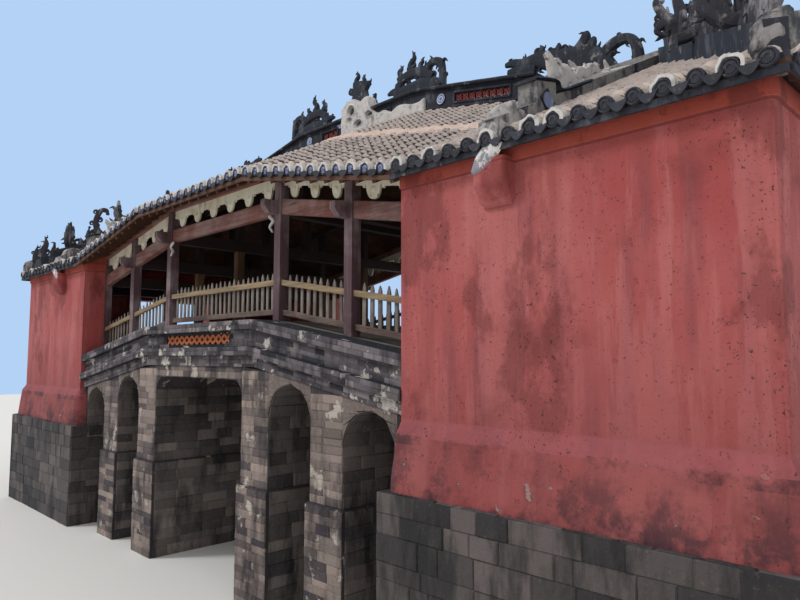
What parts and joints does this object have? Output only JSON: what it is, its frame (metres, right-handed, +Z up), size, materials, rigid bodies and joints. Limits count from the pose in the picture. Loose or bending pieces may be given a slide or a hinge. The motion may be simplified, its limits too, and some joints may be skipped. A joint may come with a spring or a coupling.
{
  "type": "covered bridge",
  "caption": "Covered footbridge with masonry arches, an open timber house with a tiled roof, and a red plastered pavilion at each end.",
  "frame": {"origin": "canal bed below the middle of the bridge, on its centre line", "axes": "+X along the bridge, +Y across it, +Z up"},
  "size_m": [17.86, 7.74, 9.465],
  "materials": {
    "plaster": "limewashed red plaster, weathered",
    "stonework": "coursed stone and brick, lichen-dark",
    "paving": "worn paving",
    "terracotta": "fired clay",
    "timber": "weathered brown stain",
    "railing_wood": "bare weathered wood",
    "painted_board": "flaking cream paint",
    "roof_tile": "fired clay tiles with mortar",
    "lime_mortar": "carved lime mortar, blackened"
  },
  "bodies": {
    "root": {"side_walls_east": "plaster", "side_walls_west": "plaster", "doorway_jambs": "plaster", "doorway_heads": "plaster", "wall_corbels": "plaster", "piers_east": "stonework", "piers_west": "stonework", "arch_east_inner": "stonework", "arch_east_outer": "stonework", "arch_west_inner": "stonework", "arch_west_outer": "stonework", "centre_span": "stonework", "abutment_east": "stonework", "abutment_west": "stonework", "edge_courses_front": "stonework", "edge_courses_back": "stonework", "deck_centre": "paving", "deck_east": "paving", "deck_west": "paving", "edge_lattices": "terracotta", "outer_posts": "timber", "inner_posts": "timber", "eave_beams": "timber", "wall_plates": "timber", "roof_frames": "timber", "purlins": "timber", "railing_front_centre": "railing_wood", "railing_front_east": "railing_wood", "railing_front_west": "railing_wood", "railing_back_centre": "railing_wood", "railing_back_east": "railing_wood", "railing_back_west": "railing_wood", "valances": "painted_board", "roof_centre": "roof_tile", "roof_east": "roof_tile", "roof_west": "roof_tile", "pavilion_roof_east": "roof_tile", "pavilion_roof_west": "roof_tile", "ridge_centre": "lime_mortar", "ridge_east": "lime_mortar", "ridge_west": "lime_mortar", "pavilion_ridges": "lime_mortar", "verge_ridges": "lime_mortar", "hip_ridges": "lime_mortar", "centre_crest": "lime_mortar", "dragon_crests": "lime_mortar", "pavilion_crests": "lime_mortar", "verge_scrolls": "lime_mortar", "corner_crests": "lime_mortar"}
  },
  "joints": []
}
